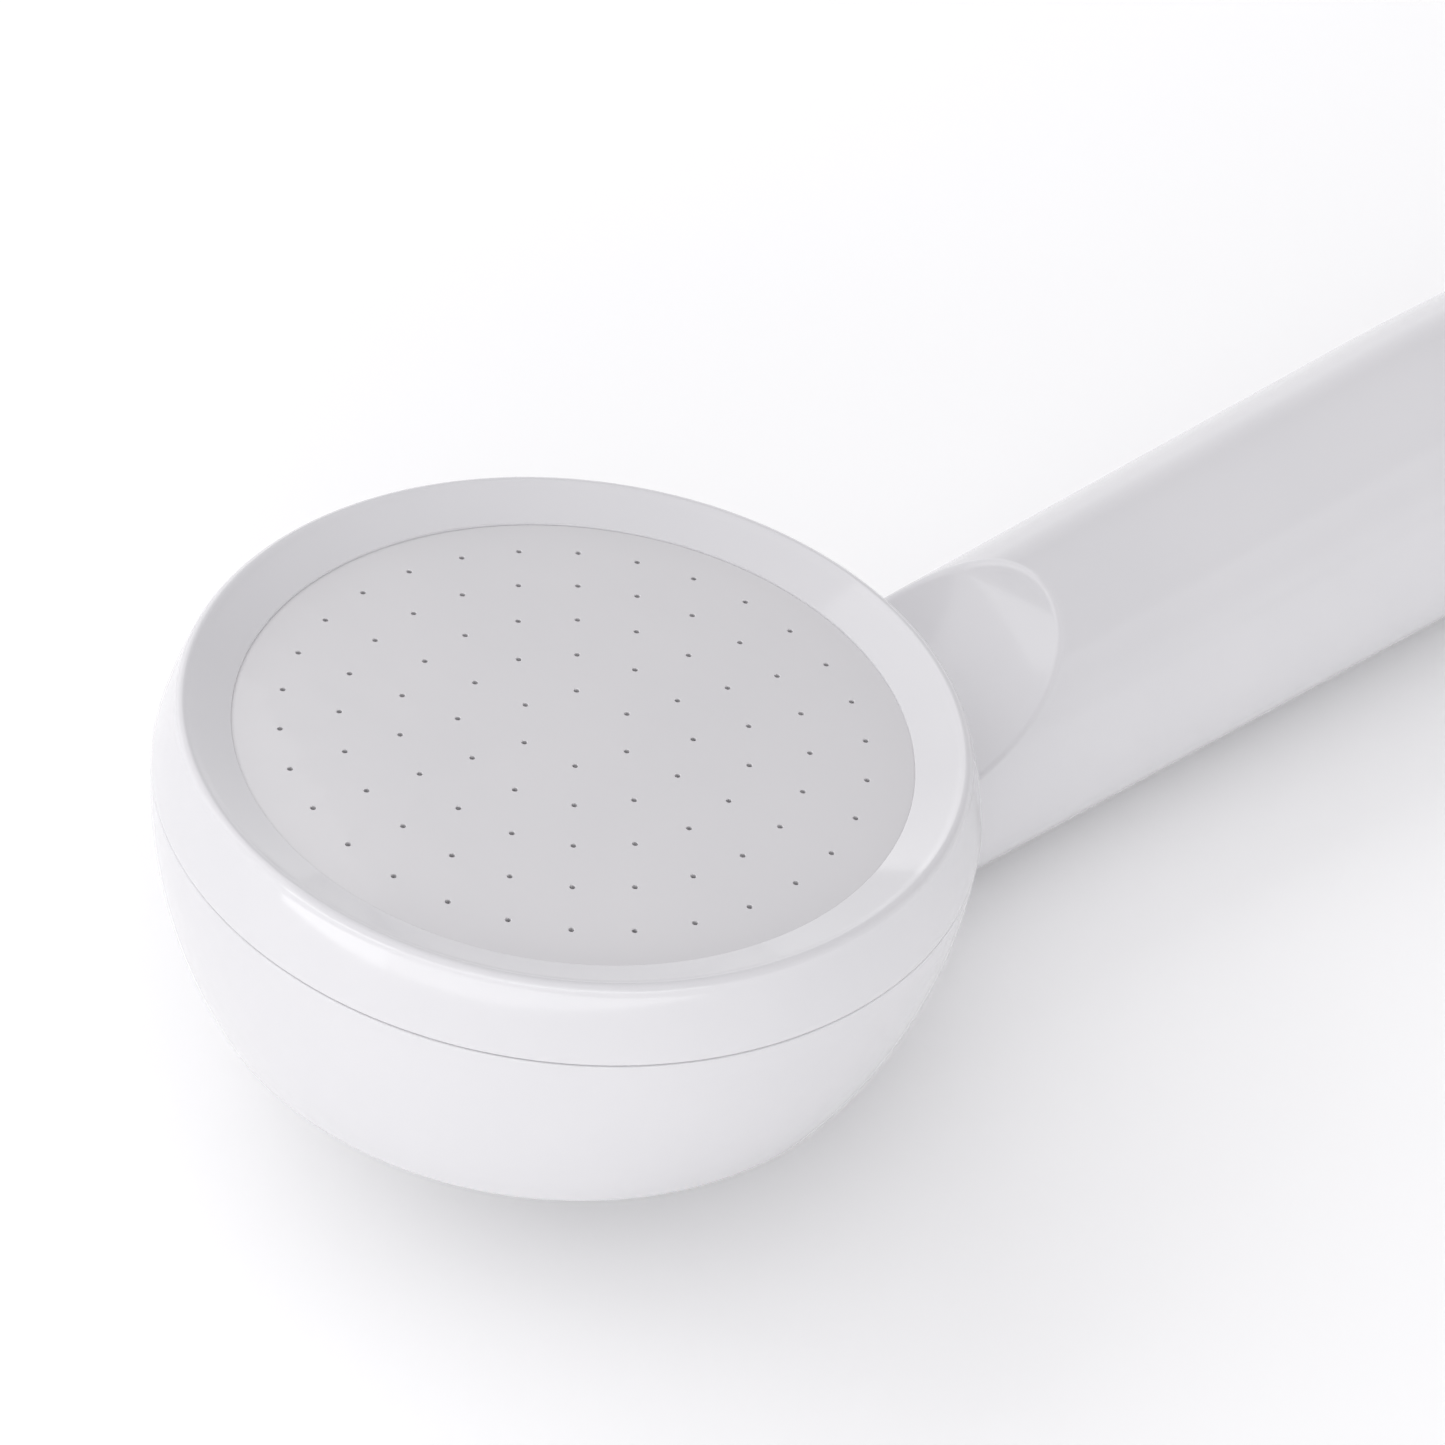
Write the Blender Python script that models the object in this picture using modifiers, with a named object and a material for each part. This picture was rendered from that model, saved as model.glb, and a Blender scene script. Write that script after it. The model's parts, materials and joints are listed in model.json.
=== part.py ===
"""Handheld shower head: a white bowl-and-handle moulding with a screw-on face
ring, a domed micro-hole spray plate and a threaded hose connector.

Head frame: origin at the middle of the spray plate, +Z out of the face, +X
towards the handle. Handle frame: +Z along the handle towards the hose. The
root empty lays the part on its back, with the origin under its middle."""

import bpy
import bmesh
import math
from mathutils import Matrix, Vector

MM = 0.001                      # every size below is in millimetres
GAP = 0.3                       # clearance kept between neighbouring pieces
SEAL_INSET = 0.1                # keeps seals and cups off the wall beside them
CUT_PAST = 1.0                  # cutters run this far past what they cut

# ---- head, overall shape
HEAD_R = 36.96                  # widest radius, on the equator
EQUATOR_Z = -5.98
CREST_R, CREST_Z = 34.96, 0.74  # top of the face ring
RING_SIDE_POWER = 1.25          # 1 is a straight chamfer, 2 a quarter ellipse
BOWL_SIDE_R, BOWL_SIDE_DEG = 45.5, 27.6
BOWL_CORNER_R = 2.8
BOWL_CAP_DEG = 55.0             # where the bowl's bottom cap starts
BOWL_WALL = 2.6
PARTING_Z = -6.6                # joint line between ring and bowl
PARTING_CHAMFER = 0.25

# ---- spray face
FACE_R = 30.27                  # part of the spray plate that shows
BEVEL_TOP_R, BEVEL_TOP_Z = 33.87, 0.42
DOME_R = 420.0                  # sphere that the plate is bent to
PLATE_DROP = 0.15               # the plate's middle, below the ring's crest line
PLATE_LIP = 1.23                # how far the ring's lip covers the plate
PLATE_THICK = 1.2
HOLE_RINGS, HOLE_PITCH, HOLE_R = 5, 5.21, 0.27
HOLE_TURN_DEG = 52.0            # a spoke of holes, counted from the handle
LIP_UNDERCUT = 0.07             # straight edge below the ring's inner bevel
CREST_SWELL = 0.07              # how far the crest bulges between its corners

# ---- ring skirt, seals and distributor
SKIRT_WALL = 2.0
SKIRT_LENGTH = 5.4              # threaded skirt below the parting line
GASKET_WIDTH, GASKET_THICK = 2.4, 1.8
O_RING_WIRE_R = 0.9
DISTRIBUTOR_WALL, DISTRIBUTOR_THICK = 2.2, 2.0
LEDGE_WIDTH = 3.9               # shelf in the bowl that holds the distributor
POST_INSET, POST_R, POST_COUNT = 2.5, 3.2, 3
SCREW_R, SCREW_HEAD_R, SCREW_HEAD_H, SCREW_DEPTH = 1.35, 2.7, 1.8, 8.0
SCREW_SOCKET_R, SCREW_SOCKET_DEPTH = 1.08, 0.72
POST_TURN_DEG = 60.0            # the first post, counted from the handle
JET_R, JETS_OUTER, JETS_INNER = 1.5, 12, 6
JETS_OUTER_RING, JETS_INNER_RING = 18.0, 9.6

# ---- handle
HANDLE_RISE_DEG = 7.7           # handle axis above the plane of the face
HANDLE_AXIS_Z = -25.61          # height of that axis at the head's axis
HANDLE_START = 6.0              # distances along the handle's axis
HANDLE_NECK, NECK_R = 36.8, 13.11
HANDLE_BELLY, BELLY_R = 105.0, 14.1
HANDLE_END, END_R = 170.0, 12.3
HANDLE_END_FILLET = 0.8
SCOOP_CENTRE_R, SCOOP_CENTRE_Z = 39.6, -4.1
SCOOP_REACH, SCOOP_DEPTH, SCOOP_POWER = 15.1, 10.6, 1.36

# ---- waterway
TUBE_R, TUBE_BORE_R = 6.4, 4.8
SOCKET_R = 7.6                  # socket that each end of the tube plugs into
SOCKET_START, SOCKET_LENGTH = 56.0, 12.0
INLET_DROP = 1.5                # the inlet runs this much below the axis
INLET_START, INLET_R = 27.0, 4.0
HANDLE_BORE_R = 10.6
TUBE_LAND, TUBE_GROOVE = 1.4, 1.8   # each O-ring groove, and the land beside it
TUBE_GROOVE_DEPTH = 1.5
BORE_CONE = 2.0                 # slope between the socket and the wide bore

# ---- hose connector, G 1/2 male
THREAD_R, THREAD_PITCH, THREAD_DEPTH = 10.48, 1.814, 1.16
THREAD_TURNS = 5
INSERT_LENGTH = 22.0            # part of the connector inside the handle
COLLAR_LENGTH, COLLAR_R, COLLAR_BEAD = 4.5, 12.2, 0.9
FLANGE_R, FLANGE_THICK = 11.6, 1.3
RELIEF_LENGTH, RELIEF_R = 1.2, 9.2
WEB_R, WEB_THICK = 4.4, 1.2
WEB_INSET = 10.0                # the web, from the connector's inner end
SEAL_AT, SEAL_GROOVE, SEAL_GROOVE_DEPTH, SEAL_WIRE_R = 4.0, 1.8, 1.45, 0.55
END_FACE_DROP = 0.9             # the mouth's rim, inside the thread's crest
WASHER_SEAT_R, WASHER_SEAT_DEPTH = 8.4, 2.8
WASHER_BORE_R, WASHER_THICK = 5.5, 1.4
MESH_THICK = 0.5
SIEVE_HOLE_R, SIEVE_RING_1, SIEVE_RING_2 = 0.65, 1.9, 3.8

# ---- non-return cartridge and flow limiter
VALVE_BORE_R, VALVE_LENGTH = 5.0, 18.5
SEAT_BORE_R, SEAT_THICK = 3.4, 2.2
POPPET_R, POPPET_THICK, STEM_R = 4.4, 2.3, 1.3
NOSE_LENGTH, NOSE_TIP_R, STEM_PAST_CAP = 1.2, 1.86, 1.0
VALVE_GROOVE, VALVE_GROOVE_DEPTH = 1.8, 1.4
CAP_INSET = 0.1                 # the guide cap, from the cartridge's end
CAP_THICK, CAP_FLOW_RING_R, CAP_FLOW_R = 2.0, 3.1, 0.8
SPRING_R, SPRING_WIRE_R, SPRING_TURNS = 2.7, 0.35, 6
SMALL_O_RING_WIRE_R = 0.5
REGULATOR_THICK, REGULATOR_WALL, REGULATOR_FLOOR = 4.0, 1.2, 1.2
REGULATOR_POST_R, REGULATOR_RING_R, REGULATOR_RING_WIRE_R = 1.7, 3.3, 0.8
REGULATOR_INSET, REGULATOR_JET_R = 1.5, 0.8

HEAD_SEGMENTS = 40
HANDLE_SEGMENTS = 28
SMALL_SEGMENTS = 16

# ---- sizes that follow from the ones above
SKIRT_BORE_R = FACE_R + PLATE_LIP + GAP
SKIRT_R = SKIRT_BORE_R + SKIRT_WALL
BOWL_BORE_R = SKIRT_R + GAP
PLATE_R = FACE_R + PLATE_LIP
SKIRT_BOTTOM_Z = PARTING_Z - SKIRT_LENGTH
LEDGE_Z = SKIRT_BOTTOM_Z - GAP - 2 * O_RING_WIRE_R - GAP
LEDGE_BORE_R = BOWL_BORE_R - LEDGE_WIDTH
DISTRIBUTOR_R = SKIRT_BORE_R - GAP - SEAL_INSET
DISTRIBUTOR_Z = LEDGE_Z + GAP
POST_RING_R = DISTRIBUTOR_R - DISTRIBUTOR_WALL - SCREW_HEAD_R - POST_INSET
VALVE_R = SOCKET_R - GAP
TUBE_START = SOCKET_START + 1.0
CONNECTOR_START = HANDLE_END - INSERT_LENGTH
COLLAR_START = HANDLE_END + GAP
FLANGE_START = COLLAR_START + COLLAR_LENGTH + GAP
THREAD_START = FLANGE_START + FLANGE_THICK + RELIEF_LENGTH
CONNECTOR_END = THREAD_START + (THREAD_TURNS + 1) * THREAD_PITCH
INSERT_R = HANDLE_BORE_R - GAP
WEB_START = CONNECTOR_START + WEB_INSET
TUBE_END = WEB_START - 1.0
VALVE_START = WEB_START + WEB_THICK + GAP
VALVE_END = VALVE_START + VALVE_LENGTH
SEAT_START = VALVE_END - SEAT_THICK
POPPET_FACE = SEAT_START - GAP
POPPET_BACK = POPPET_FACE - POPPET_THICK
CAP_START = VALVE_START + CAP_INSET
CAP_END = CAP_START + CAP_THICK
WASHER_SEAT = CONNECTOR_END - WASHER_SEAT_DEPTH
REGULATOR_START = VALVE_END + REGULATOR_INSET


# ---------------------------------------------------------------- helpers

def collection(name):
    """Makes a collection in the scene."""
    made = bpy.data.collections.new(name)
    bpy.context.scene.collection.children.link(made)
    return made


def empty(name, parent=None, place=Matrix.Identity(4)):
    """Adds an axis that other objects hang on."""
    made = bpy.data.objects.new(name, None)
    PART.objects.link(made)
    made.parent = parent
    made.matrix_local = place
    return made


def material(name, colour, roughness, metallic=0.0):
    """Makes one Principled material."""
    made = bpy.data.materials.new(name)
    made.use_nodes = True
    shader = made.node_tree.nodes["Principled BSDF"]
    shader.inputs["Base Color"].default_value = (*colour, 1.0)
    shader.inputs["Roughness"].default_value = roughness
    shader.inputs["Metallic"].default_value = metallic
    return made


def add(name, mesh, parent, finish=None):
    """Puts a mesh in the part, or among the cutters if it has no finish."""
    made = bpy.data.objects.new(name, mesh)
    (PART if finish else CUTTERS).objects.link(made)
    made.parent = parent
    if finish:
        mesh.materials.append(finish)
    else:
        made.hide_render = True
        made.display_type = "WIRE"
    return made


def clockwise(profile):
    """Orders a profile so that its outer side runs from top to bottom."""
    closed = profile + profile[:1]
    area = sum(a[0] * b[1] - b[0] * a[1] for a, b in zip(closed, closed[1:]))
    return profile if area < 0 else profile[::-1]


def turned(name, profile, parent, finish=None, segments=SMALL_SEGMENTS):
    """Turns an outline of (radius, height) points round the parent's Z axis.

    An outline that starts and ends on the axis makes a solid; any other is
    closed to a ring."""
    points = clockwise(profile)
    on_axis = [i for i, (radius, _) in enumerate(points) if radius == 0]
    if on_axis:
        first = next(i for i in on_axis if (i - 1) % len(points) in on_axis)
        points = points[first:] + points[:first]
    mesh = bpy.data.meshes.new(name)
    shape = bmesh.new()
    corners = [shape.verts.new((r * MM, 0, z * MM)) for r, z in points]
    for one, two in zip(corners, corners[1:]):
        shape.edges.new((one, two))
    if not on_axis:
        shape.edges.new((corners[-1], corners[0]))
    shape.to_mesh(mesh)
    shape.free()
    made = add(name, mesh, parent, finish)
    screw = made.modifiers.new("turn", "SCREW")
    screw.steps = screw.render_steps = segments
    screw.use_merge_vertices = True
    screw.merge_threshold = 0.00001
    return made


def rods(name, places, radius, low, high, parent, finish=None, sides=8):
    """Puts upright cylinders at (x, y) places, as separate solids."""
    mesh = bpy.data.meshes.new(name)
    shape = bmesh.new()
    for x, y in places:
        centre = Vector((x, y, (low + high) / 2)) * MM
        bmesh.ops.create_cone(
            shape, cap_ends=True, segments=sides, radius1=radius * MM,
            radius2=radius * MM, depth=(high - low) * MM,
            matrix=Matrix.Translation(centre))
    shape.to_mesh(mesh)
    shape.free()
    return add(name, mesh, parent, finish)


def boolean(target, operation, tool):
    """Adds an exact Boolean modifier."""
    step = target.modifiers.new(operation.lower(), "BOOLEAN")
    step.operation = operation
    step.solver = "EXACT"
    step.object = tool


def polar(radius, count, start_deg=0.0):
    """Points evenly spaced round a circle."""
    turns = [math.radians(start_deg + 360 * i / count) for i in range(count)]
    return [(radius * math.cos(a), radius * math.sin(a)) for a in turns]


def arc(centre, radius, start_deg, end_deg, steps):
    """Points along an arc, both ends included, in (radius, height)."""
    span = end_deg - start_deg
    angles = [math.radians(start_deg + span * i / steps) for i in range(steps + 1)]
    return [(centre[0] + radius * math.cos(a), centre[1] + radius * math.sin(a))
            for a in angles]


def o_ring(name, ring_r, wire_r, height, parent, finish, segments):
    """An O-ring lying round the parent's Z axis."""
    section = arc((ring_r, height), wire_r, 0, 360, 6)[:-1]
    return turned(name, section, parent, finish, segments)


def box_of(profile_low, profile_high, inner, outer):
    """A plain ring's outline."""
    return [(inner, profile_low), (outer, profile_low),
            (outer, profile_high), (inner, profile_high)]


# ---------------------------------------------------------------- outlines

def dome_z(radius):
    """Height of the spray plate's face, a wide sphere."""
    return -PLATE_DROP - (DOME_R - math.sqrt(DOME_R ** 2 - radius ** 2))


def ring_side():
    """Outer side of the face ring, from the crest to the equator."""
    points = []
    for i in range(9):
        turn = math.pi / 2 * i / 8
        out = math.sin(turn) ** (2 / RING_SIDE_POWER)
        up = math.cos(turn) ** (2 / RING_SIDE_POWER)
        points.append((CREST_R + (HEAD_R - CREST_R) * out,
                       EQUATOR_Z + (CREST_Z - EQUATOR_Z) * up))
    return points


def bowl_side():
    """Outer side of the bowl, from the equator to the bottom centre: a long
    side arc, a tight corner and a wide bottom cap, all tangent."""
    side = arc((HEAD_R - BOWL_SIDE_R, EQUATOR_Z), BOWL_SIDE_R,
               0, -BOWL_SIDE_DEG, 7)
    slope = math.radians(BOWL_SIDE_DEG)
    centre = (side[-1][0] - BOWL_CORNER_R * math.cos(slope),
              side[-1][1] + BOWL_CORNER_R * math.sin(slope))
    corner = arc(centre, BOWL_CORNER_R, -BOWL_SIDE_DEG, -BOWL_CAP_DEG, 2)
    cap = math.radians(BOWL_CAP_DEG)
    cap_r = corner[-1][0] / math.cos(cap)
    cap_centre = (0.0, corner[-1][1] + cap_r * math.sin(cap))
    bottom = arc(cap_centre, cap_r, -BOWL_CAP_DEG, -90, 6)
    bottom[-1] = (0.0, bottom[-1][1])
    return side + corner[1:] + bottom[1:]


def side_radius(outline, height):
    """Radius of an outline at a height, by straight interpolation."""
    for (r1, z1), (r2, z2) in zip(outline, outline[1:]):
        if z2 <= height <= z1:
            return r1 + (r2 - r1) * (z1 - height) / (z1 - z2)
    raise ValueError("height outside the outline")


def handle_radius(along):
    """Radius of the handle: a slow swell to the belly, then a soft taper."""
    swell = (BELLY_R - NECK_R) / (HANDLE_BELLY - HANDLE_NECK)
    if along <= HANDLE_BELLY:
        return NECK_R + swell * (along - HANDLE_NECK)
    length = HANDLE_END - HANDLE_BELLY
    t = (along - HANDLE_BELLY) / length
    eased = 3 * t ** 2 - 2 * t ** 3
    coast = swell * length * t * (1 - t) ** 2
    return BELLY_R + coast - (BELLY_R - END_R) * eased


def scoop_outline():
    """Clearance round the ring, cut from the top of the handle's neck."""
    inner = SKIRT_R - CUT_PAST
    points = [(inner, SCOOP_CENTRE_Z - SCOOP_DEPTH)]
    for i in range(11):
        turn = math.pi / 2 * i / 10
        out = math.sin(turn) ** (2 / SCOOP_POWER)
        down = math.cos(turn) ** (2 / SCOOP_POWER)
        points.append((SCOOP_CENTRE_R + SCOOP_REACH * out,
                       SCOOP_CENTRE_Z - SCOOP_DEPTH * down))
    top = HEAD_R
    return points + [(SCOOP_CENTRE_R + SCOOP_REACH, top), (inner, top)]


# ------------------------------------------------------------------ pieces

def make_body_shell(head, handle):
    """Bowl and handle in one moulding, with the scoop, the cavities and the
    posts for the distributor's screws."""
    equator = bowl_side()
    rim_z = PARTING_Z - GAP / 2
    rim_r = side_radius(equator, rim_z)
    below = [p for p in equator if p[1] < rim_z - PARTING_CHAMFER]
    rim = [(0.0, rim_z), (rim_r - PARTING_CHAMFER, rim_z),
           (side_radius(equator, rim_z - PARTING_CHAMFER),
            rim_z - PARTING_CHAMFER)]
    shell = turned("body_shell", rim + below, head, WHITE, HEAD_SEGMENTS)

    grip = [(0.0, HANDLE_START)]
    steps = 12
    last = HANDLE_END - HANDLE_END_FILLET
    for i in range(steps + 1):
        along = HANDLE_START + (last - HANDLE_START) * i / steps
        grip.append((handle_radius(along), along))
    grip += arc((END_R - HANDLE_END_FILLET, last), HANDLE_END_FILLET,
                30, 90, 2)
    grip.append((0.0, HANDLE_END))
    blank = turned("handle_blank", grip, handle, segments=HANDLE_SEGMENTS)
    scoop = turned("scoop_cutter", scoop_outline(), head,
                   segments=HEAD_SEGMENTS)
    boolean(blank, "DIFFERENCE", scoop)
    boolean(shell, "UNION", blank)

    inner = [(0.0, CUT_PAST), (BOWL_BORE_R, CUT_PAST),
             (BOWL_BORE_R, LEDGE_Z), (LEDGE_BORE_R, LEDGE_Z)]
    floor = [(r - BOWL_WALL, z) for r, z in equator
             if r - BOWL_WALL < LEDGE_BORE_R and r > BOWL_WALL]
    floor = [(r, z + BOWL_WALL * (1 - r / HEAD_R)) for r, z in floor]
    bottom = equator[-1][1] + BOWL_WALL
    cavity = turned("bowl_cavity", inner + floor + [(0.0, bottom)], head,
                    segments=HEAD_SEGMENTS)
    places = polar(POST_RING_R, POST_COUNT, POST_TURN_DEG)
    posts = rods("post_blanks", places, POST_R, bottom - BOWL_WALL, LEDGE_Z,
                 head, sides=12)
    boolean(cavity, "DIFFERENCE", posts)
    boolean(shell, "DIFFERENCE", cavity)

    pilots = rods("post_pilots", places, SCREW_R + GAP,
                  LEDGE_Z - SCREW_DEPTH - GAP, LEDGE_Z + CUT_PAST, head)
    boolean(shell, "DIFFERENCE", pilots)

    main = [(0.0, SOCKET_START), (SOCKET_R, SOCKET_START),
            (SOCKET_R, SOCKET_START + SOCKET_LENGTH),
            (HANDLE_BORE_R, SOCKET_START + SOCKET_LENGTH + BORE_CONE),
            (HANDLE_BORE_R, HANDLE_END + CUT_PAST), (0.0, HANDLE_END + CUT_PAST)]
    bore = turned("handle_bore", main, handle, segments=HANDLE_SEGMENTS)
    boolean(shell, "DIFFERENCE", bore)
    inlet = rods("inlet_bore", [(INLET_DROP, 0.0)], INLET_R, INLET_START,
                 SOCKET_START + CUT_PAST, handle, sides=20)
    boolean(shell, "DIFFERENCE", inlet)


def make_face_ring(turning):
    """Screw-on ring: inner bevel, crest, convex side and threaded skirt."""
    edge_z = PARTING_Z + GAP / 2
    lip_z = dome_z(FACE_R) + GAP
    side = [p for p in ring_side() if p[1] > edge_z + 1.0]
    edge_r = side_radius(bowl_side(), edge_z)
    crest = [(BEVEL_TOP_R, BEVEL_TOP_Z),
             ((BEVEL_TOP_R + CREST_R) / 2,
              (BEVEL_TOP_Z + CREST_Z) / 2 + CREST_SWELL)]
    outline = [(FACE_R, lip_z), (FACE_R, lip_z + LIP_UNDERCUT)] + crest + side
    outline += [(HEAD_R, EQUATOR_Z),
                (edge_r, edge_z + PARTING_CHAMFER),
                (edge_r - PARTING_CHAMFER, edge_z),
                (SKIRT_R, edge_z), (SKIRT_R, SKIRT_BOTTOM_Z),
                (SKIRT_BORE_R, SKIRT_BOTTOM_Z), (SKIRT_BORE_R, lip_z)]
    turned("face_ring", outline, turning, WHITE, HEAD_SEGMENTS)


def make_spray_plate(head):
    """Domed plate with rings of 6, 12, 18 ... micro holes."""
    radii = [PLATE_R * i / 4 for i in range(5)]
    top = [(r, dome_z(r)) for r in radii]
    bottom = [(r, z - PLATE_THICK) for r, z in reversed(top)]
    plate = turned("spray_plate", top + bottom, head, WHITE, HEAD_SEGMENTS)
    places = []
    for ring in range(1, HOLE_RINGS + 1):
        places += polar(ring * HOLE_PITCH, 6 * ring, HOLE_TURN_DEG)
    holes = rods("micro_holes", places, HOLE_R, -3 * PLATE_THICK, CUT_PAST, head,
                 sides=6)
    boolean(plate, "DIFFERENCE", holes)


def make_face_seals(head, fixed_head):
    """The flat seal under the plate and the O-ring under the skirt."""
    top = dome_z(PLATE_R) - PLATE_THICK - GAP
    outer = PLATE_R - SEAL_INSET
    turned("plate_gasket",
           box_of(top - GASKET_THICK, top, outer - GASKET_WIDTH, outer),
           head, RUBBER, HEAD_SEGMENTS)
    o_ring("ring_o_ring", (DISTRIBUTOR_R + BOWL_BORE_R) / 2, O_RING_WIRE_R,
           LEDGE_Z + GAP + O_RING_WIRE_R, fixed_head, RUBBER, HEAD_SEGMENTS)


def make_distributor(head):
    """Cup that spreads the water, and the screws that hold it down."""
    gasket_bottom = dome_z(PLATE_R) - PLATE_THICK - GAP - GASKET_THICK
    rim = gasket_bottom - GAP
    floor_top = DISTRIBUTOR_Z + DISTRIBUTOR_THICK
    outline = [(0.0, DISTRIBUTOR_Z), (DISTRIBUTOR_R, DISTRIBUTOR_Z),
               (DISTRIBUTOR_R, rim), (DISTRIBUTOR_R - DISTRIBUTOR_WALL, rim),
               (DISTRIBUTOR_R - DISTRIBUTOR_WALL, floor_top), (0.0, floor_top)]
    cup = turned("water_distributor", outline, head, NATURAL, HEAD_SEGMENTS)
    screws = polar(POST_RING_R, POST_COUNT, POST_TURN_DEG)
    low, high = DISTRIBUTOR_Z - CUT_PAST, floor_top + CUT_PAST
    jets = polar(JETS_OUTER_RING, JETS_OUTER, 180 / JETS_OUTER)
    jets += polar(JETS_INNER_RING, JETS_INNER)
    boolean(cup, "DIFFERENCE",
            rods("distributor_jets", jets, JET_R, low, high, head))
    boolean(cup, "DIFFERENCE",
            rods("distributor_screw_holes", screws, SCREW_R + GAP, low, high,
                 head))
    top = floor_top + GAP
    for number, place in enumerate(screws, 1):
        screw = rods(f"distributor_screw_{number}", [place], SCREW_R,
                     LEDGE_Z - SCREW_DEPTH, top + SCREW_HEAD_H / 2, head, STEEL)
        boolean(screw, "UNION",
                rods(f"screw_head_{number}", [place], SCREW_HEAD_R, top,
                     top + SCREW_HEAD_H, head, sides=12))
        boolean(screw, "DIFFERENCE",
                rods(f"screw_socket_{number}", [place], SCREW_SOCKET_R,
                     top + SCREW_HEAD_H - SCREW_SOCKET_DEPTH,
                     top + SCREW_HEAD_H + CUT_PAST, head, sides=6))


def make_water_tube(handle):
    """Inner pipe with a grooved spigot and an O-ring at each end."""
    groove_r = VALVE_R - TUBE_GROOVE_DEPTH
    land = TUBE_LAND
    outer = []
    for end, way in ((TUBE_START, 1), (TUBE_END, -1)):
        spigot = [(VALVE_R, end), (VALVE_R, end + way * land),
                  (groove_r, end + way * land),
                  (groove_r, end + way * (land + TUBE_GROOVE)),
                  (VALVE_R, end + way * (land + TUBE_GROOVE)),
                  (VALVE_R, end + way * (2 * land + TUBE_GROOVE)),
                  (TUBE_R, end + way * (2 * land + TUBE_GROOVE))]
        outer += spigot if way == 1 else spigot[::-1]
    outline = outer + [(TUBE_BORE_R, TUBE_END), (TUBE_BORE_R, TUBE_START)]
    turned("water_tube", outline, handle, NATURAL)
    middle = land + TUBE_GROOVE / 2
    wire = (VALVE_R - groove_r - GAP) / 2
    for name, along in (("tube_front_o_ring", TUBE_START + middle),
                        ("tube_rear_o_ring", TUBE_END - middle)):
        o_ring(name, VALVE_R - wire, wire, along, handle, RUBBER,
               SMALL_SEGMENTS)


def make_end_collar(handle):
    """Rounded trim ring between the handle and the connector's flange."""
    bead = COLLAR_BEAD
    start, end = COLLAR_START, COLLAR_START + COLLAR_LENGTH
    inner = INSERT_R + GAP
    outline = [(inner, start)]
    outline += arc((COLLAR_R - bead, start + bead), bead, -90, 0, 3)
    outline += arc((COLLAR_R - bead, end - bead), bead, 0, 90, 3)
    outline += [(inner, end)]
    turned("end_collar", outline, handle, WHITE, HANDLE_SEGMENTS)


def make_connector(handle):
    """Threaded hose connector with the seats for seal, valve and washer."""
    groove_r = INSERT_R - SEAL_GROOVE_DEPTH
    groove = CONNECTOR_START + SEAL_AT
    outline = [(INSERT_R, CONNECTOR_START), (INSERT_R, groove),
               (groove_r, groove), (groove_r, groove + SEAL_GROOVE),
               (INSERT_R, groove + SEAL_GROOVE), (INSERT_R, FLANGE_START),
               (FLANGE_R, FLANGE_START),
               (FLANGE_R, FLANGE_START + FLANGE_THICK),
               (RELIEF_R, FLANGE_START + FLANGE_THICK),
               (RELIEF_R, THREAD_START)]
    root = THREAD_R - THREAD_DEPTH
    for turn in range(THREAD_TURNS):
        base = THREAD_START + turn * THREAD_PITCH
        outline += [(root, base + 0.08 * THREAD_PITCH),
                    (THREAD_R, base + 0.42 * THREAD_PITCH),
                    (THREAD_R, base + 0.58 * THREAD_PITCH),
                    (root, base + 0.92 * THREAD_PITCH)]
    face_r = THREAD_R - END_FACE_DROP
    outline += [(root, CONNECTOR_END - THREAD_PITCH * 0.6),
                (face_r, CONNECTOR_END - THREAD_PITCH * 0.3),
                (face_r, CONNECTOR_END),
                (WASHER_SEAT_R, CONNECTOR_END), (WASHER_SEAT_R, WASHER_SEAT),
                (SOCKET_R, WASHER_SEAT), (SOCKET_R, WEB_START + WEB_THICK),
                (WEB_R, WEB_START + WEB_THICK), (WEB_R, WEB_START),
                (SOCKET_R, WEB_START), (SOCKET_R, CONNECTOR_START)]
    turned("hose_connector", outline, handle, CHROME, SMALL_SEGMENTS)
    o_ring("connector_o_ring", groove_r + GAP + SEAL_WIRE_R, SEAL_WIRE_R,
           groove + SEAL_GROOVE / 2, handle, RUBBER, HANDLE_SEGMENTS)


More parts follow.
